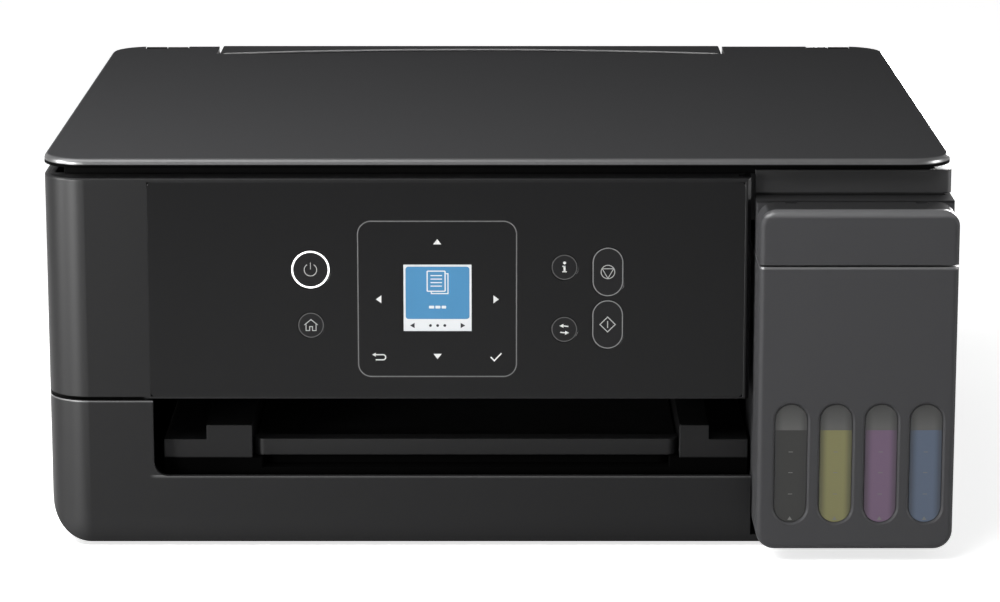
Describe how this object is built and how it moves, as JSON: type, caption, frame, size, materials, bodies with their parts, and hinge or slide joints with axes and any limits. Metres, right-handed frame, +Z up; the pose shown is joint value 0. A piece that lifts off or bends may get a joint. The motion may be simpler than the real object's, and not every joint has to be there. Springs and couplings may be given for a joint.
{
  "type": "ink-tank inkjet printer",
  "caption": "Black ink-tank inkjet all-in-one printer with flatbed scanner, control panel, output tray and a refillable tank unit at the front right.",
  "frame": {"origin": "under the middle of the whole printer, on the surface it stands on", "axes": "+X to the viewer's right when facing the front, +Y to the rear, +Z up"},
  "size_m": [0.38, 0.339, 0.167],
  "materials": {
    "shell_black": "fine satin grain",
    "panel_gloss": "polished",
    "key_gloss": "polished",
    "tank_grey": "fine satin grain",
    "clear_tank": "clear, slightly frosted",
    "screen": "smooth",
    "board_green": "satin",
    "glass": "clear",
    "white_foam": "soft matt",
    "inner_black": "matt",
    "steel": "plain",
    "zinc_sheet": "zinc plated, dull",
    "gear_white": "satin",
    "rubber_grey": "matt",
    "belt_rubber": "matt",
    "felt": "soft",
    "cap_black": "satin",
    "cap_yellow": "satin",
    "cap_magenta": "satin",
    "cap_cyan": "satin"
  },
  "bodies": {
    "base": {"lower_case": "shell_black", "rear_housing": "shell_black", "housing_screws": "steel", "right_housing": "shell_black", "feet": "rubber_grey", "tank_housing": "tank_grey", "ink_reservoirs": "clear_tank", "hinge_pins": "steel", "paper_hopper": "inner_black", "output_guide": "inner_black", "chassis": "zinc_sheet", "carriage_shaft": "steel", "feed_motor": "steel", "carriage_motor": "steel", "drive_belt": "belt_rubber", "platen": "inner_black", "capping_station": "inner_black", "waste_ink_pad": "felt", "main_board": "board_green", "power_supply": "zinc_sheet", "mains_inlet": "inner_black", "usb_port": "inner_black"},
    "scanner_unit": {"upper_case": "shell_black", "control_panel": "panel_gloss", "lcd": "screen", "control_board": "board_green", "scanner_tub": "shell_black", "scanner_frame": "shell_black", "platen_glass": "glass"},
    "lid": {"lid": "shell_black", "lid_mat": "white_foam"},
    "sensor": {"image_sensor_bar": "inner_black"},
    "carriage": {"carriage": "inner_black", "print_head": "inner_black"},
    "power_button": {"power_button": "key_gloss"},
    "home_button": {"home_button": "key_gloss"},
    "info_button": {"info_button": "key_gloss"},
    "swap_button": {"swap_button": "key_gloss"},
    "stop_button": {"stop_button": "key_gloss"},
    "start_button": {"start_button": "key_gloss"},
    "black_ink_cap": {"black_ink_cap": "cap_black"},
    "yellow_ink_cap": {"yellow_ink_cap": "cap_yellow"},
    "magenta_ink_cap": {"magenta_ink_cap": "cap_magenta"},
    "cyan_ink_cap": {"cyan_ink_cap": "cap_cyan"},
    "tank_cover": {"tank_cover": "tank_grey"},
    "paper_support": {"paper_support": "shell_black"},
    "edge_guide_left": {"edge_guide_left": "inner_black"},
    "edge_guide_right": {"edge_guide_right": "inner_black"},
    "output_tray": {"output_tray": "inner_black"},
    "tray_extension": {"tray_extension": "inner_black"},
    "motor_pulley": {"motor_pulley": "gear_white"},
    "idle_pulley": {"idle_pulley": "gear_white"},
    "feed_roller": {"feed_roller": "rubber_grey"},
    "eject_roller": {"eject_roller": "rubber_grey"},
    "idler_gear": {"idler_gear": "gear_white"},
    "motor_pinion": {"motor_pinion": "gear_white"},
    "pinch_rollers": {"pinch_rollers": "gear_white"},
    "star_wheels": {"star_wheels": "gear_white"},
    "pickup_roller": {"pickup_roller": "rubber_grey"}
  },
  "joints": [
    {"name": "scanner_lift", "type": "hinge", "parent": "base", "child": "scanner_unit", "pos_m": [0, 0.1655, 0.1632], "axis": [-1, 0, 0], "range_deg": [0, 25]},
    {"name": "lid_lift", "type": "hinge", "parent": "scanner_unit", "child": "lid", "pos_m": [0, 0.1655, 0.1632], "axis": [-1, 0, 0], "range_deg": [0, 60]},
    {"name": "sensor_scan", "type": "slide", "parent": "scanner_unit", "child": "sensor", "axis": [1, 0, 0], "range_m": [0, 0.3]},
    {"name": "power_button_press", "type": "slide", "parent": "scanner_unit", "child": "power_button", "axis": [0, 1, 0], "range_m": [0, 0.0006], "stiffness_N_per_m": 1500},
    {"name": "home_button_press", "type": "slide", "parent": "scanner_unit", "child": "home_button", "axis": [0, 1, 0], "range_m": [0, 0.0006], "stiffness_N_per_m": 1500},
    {"name": "info_button_press", "type": "slide", "parent": "scanner_unit", "child": "info_button", "axis": [0, 1, 0], "range_m": [0, 0.0006], "stiffness_N_per_m": 1500},
    {"name": "swap_button_press", "type": "slide", "parent": "scanner_unit", "child": "swap_button", "axis": [0, 1, 0], "range_m": [0, 0.0006], "stiffness_N_per_m": 1500},
    {"name": "stop_button_press", "type": "slide", "parent": "scanner_unit", "child": "stop_button", "axis": [0, 1, 0], "range_m": [0, 0.0006], "stiffness_N_per_m": 1500},
    {"name": "start_button_press", "type": "slide", "parent": "scanner_unit", "child": "start_button", "axis": [0, 1, 0], "range_m": [0, 0.0006], "stiffness_N_per_m": 1500},
    {"name": "tank_cover_swing", "type": "hinge", "parent": "base", "child": "tank_cover", "pos_m": [0.149, -0.151, 0.147], "axis": [-1, 0, 0], "range_deg": [0, 90]},
    {"name": "black_ink_cap_swing", "type": "hinge", "parent": "base", "child": "black_ink_cap", "pos_m": [0.122, -0.1525, 0.1326], "axis": [-1, 0, 0], "range_deg": [0, 70]},
    {"name": "yellow_ink_cap_swing", "type": "hinge", "parent": "base", "child": "yellow_ink_cap", "pos_m": [0.1407, -0.1525, 0.1326], "axis": [-1, 0, 0], "range_deg": [0, 70]},
    {"name": "magenta_ink_cap_swing", "type": "hinge", "parent": "base", "child": "magenta_ink_cap", "pos_m": [0.1594, -0.1525, 0.1326], "axis": [-1, 0, 0], "range_deg": [0, 70]},
    {"name": "cyan_ink_cap_swing", "type": "hinge", "parent": "base", "child": "cyan_ink_cap", "pos_m": [0.1781, -0.1525, 0.1326], "axis": [-1, 0, 0], "range_deg": [0, 70]},
    {"name": "support_slide", "type": "slide", "parent": "base", "child": "paper_support", "axis": [0, 0.3907, 0.9205], "range_m": [0, 0.1]},
    {"name": "left_guide_slide", "type": "slide", "parent": "base", "child": "edge_guide_left", "axis": [1, 0, 0], "range_m": [0, 0.06]},
    {"name": "right_guide_slide", "type": "slide", "parent": "base", "child": "edge_guide_right", "axis": [1, 0, 0], "range_m": [-0.06, 0]},
    {"name": "tray_slide", "type": "slide", "parent": "base", "child": "output_tray", "axis": [0, -1, 0], "range_m": [0, 0.15]},
    {"name": "extension_slide", "type": "slide", "parent": "output_tray", "child": "tray_extension", "axis": [0, -1, 0], "range_m": [0, 0.11]},
    {"name": "carriage_slide", "type": "slide", "parent": "base", "child": "carriage", "axis": [-1, 0, 0], "range_m": [0, 0.245]},
    {"name": "motor_pulley_turn", "type": "hinge", "parent": "base", "child": "motor_pulley", "pos_m": [0.158, 0.089, 0.106], "axis": [0, 1, 0], "range_deg": [0, 2345]},
    {"name": "idle_pulley_turn", "type": "hinge", "parent": "base", "child": "idle_pulley", "pos_m": [-0.158, 0.089, 0.106], "axis": [0, 1, 0], "range_deg": [0, 2345]},
    {"name": "feed_turn", "type": "hinge", "parent": "base", "child": "feed_roller", "pos_m": [0, 0.062, 0.05], "axis": [1, 0, 0], "continuous": true},
    {"name": "eject_turn", "type": "hinge", "parent": "base", "child": "eject_roller", "pos_m": [0, 0.002, 0.05], "axis": [1, 0, 0], "continuous": true},
    {"name": "idler_turn", "type": "hinge", "parent": "base", "child": "idler_gear", "pos_m": [-0.164, 0.032, 0.05], "axis": [1, 0, 0], "continuous": true},
    {"name": "pinion_turn", "type": "hinge", "parent": "base", "child": "motor_pinion", "pos_m": [-0.164, 0.08038, 0.03162], "axis": [1, 0, 0], "continuous": true},
    {"name": "pinch_turn", "type": "hinge", "parent": "base", "child": "pinch_rollers", "pos_m": [0, 0.062, 0.0593], "axis": [1, 0, 0], "continuous": true},
    {"name": "star_turn", "type": "hinge", "parent": "base", "child": "star_wheels", "pos_m": [0, 0.002, 0.0603], "axis": [1, 0, 0], "continuous": true},
    {"name": "pickup_turn", "type": "hinge", "parent": "base", "child": "pickup_roller", "pos_m": [0, 0.11176, 0.08134], "axis": [1, 0, 0], "continuous": true}
  ],
  "couplings": [
    {"joint": "right_guide_slide", "follows": "left_guide_slide", "ratio": -1},
    {"joint": "motor_pulley_turn", "follows": "carriage_slide", "rad_per_m": 166.67},
    {"joint": "idle_pulley_turn", "follows": "carriage_slide", "rad_per_m": 166.67},
    {"joint": "eject_turn", "follows": "feed_turn", "ratio": 1},
    {"joint": "idler_turn", "follows": "feed_turn", "ratio": -2},
    {"joint": "pinion_turn", "follows": "feed_turn", "ratio": -3.3333},
    {"joint": "pinch_turn", "follows": "feed_turn", "ratio": -2},
    {"joint": "star_turn", "follows": "feed_turn", "ratio": -1.5},
    {"joint": "pickup_turn", "follows": "feed_turn", "ratio": -0.42857}
  ]
}
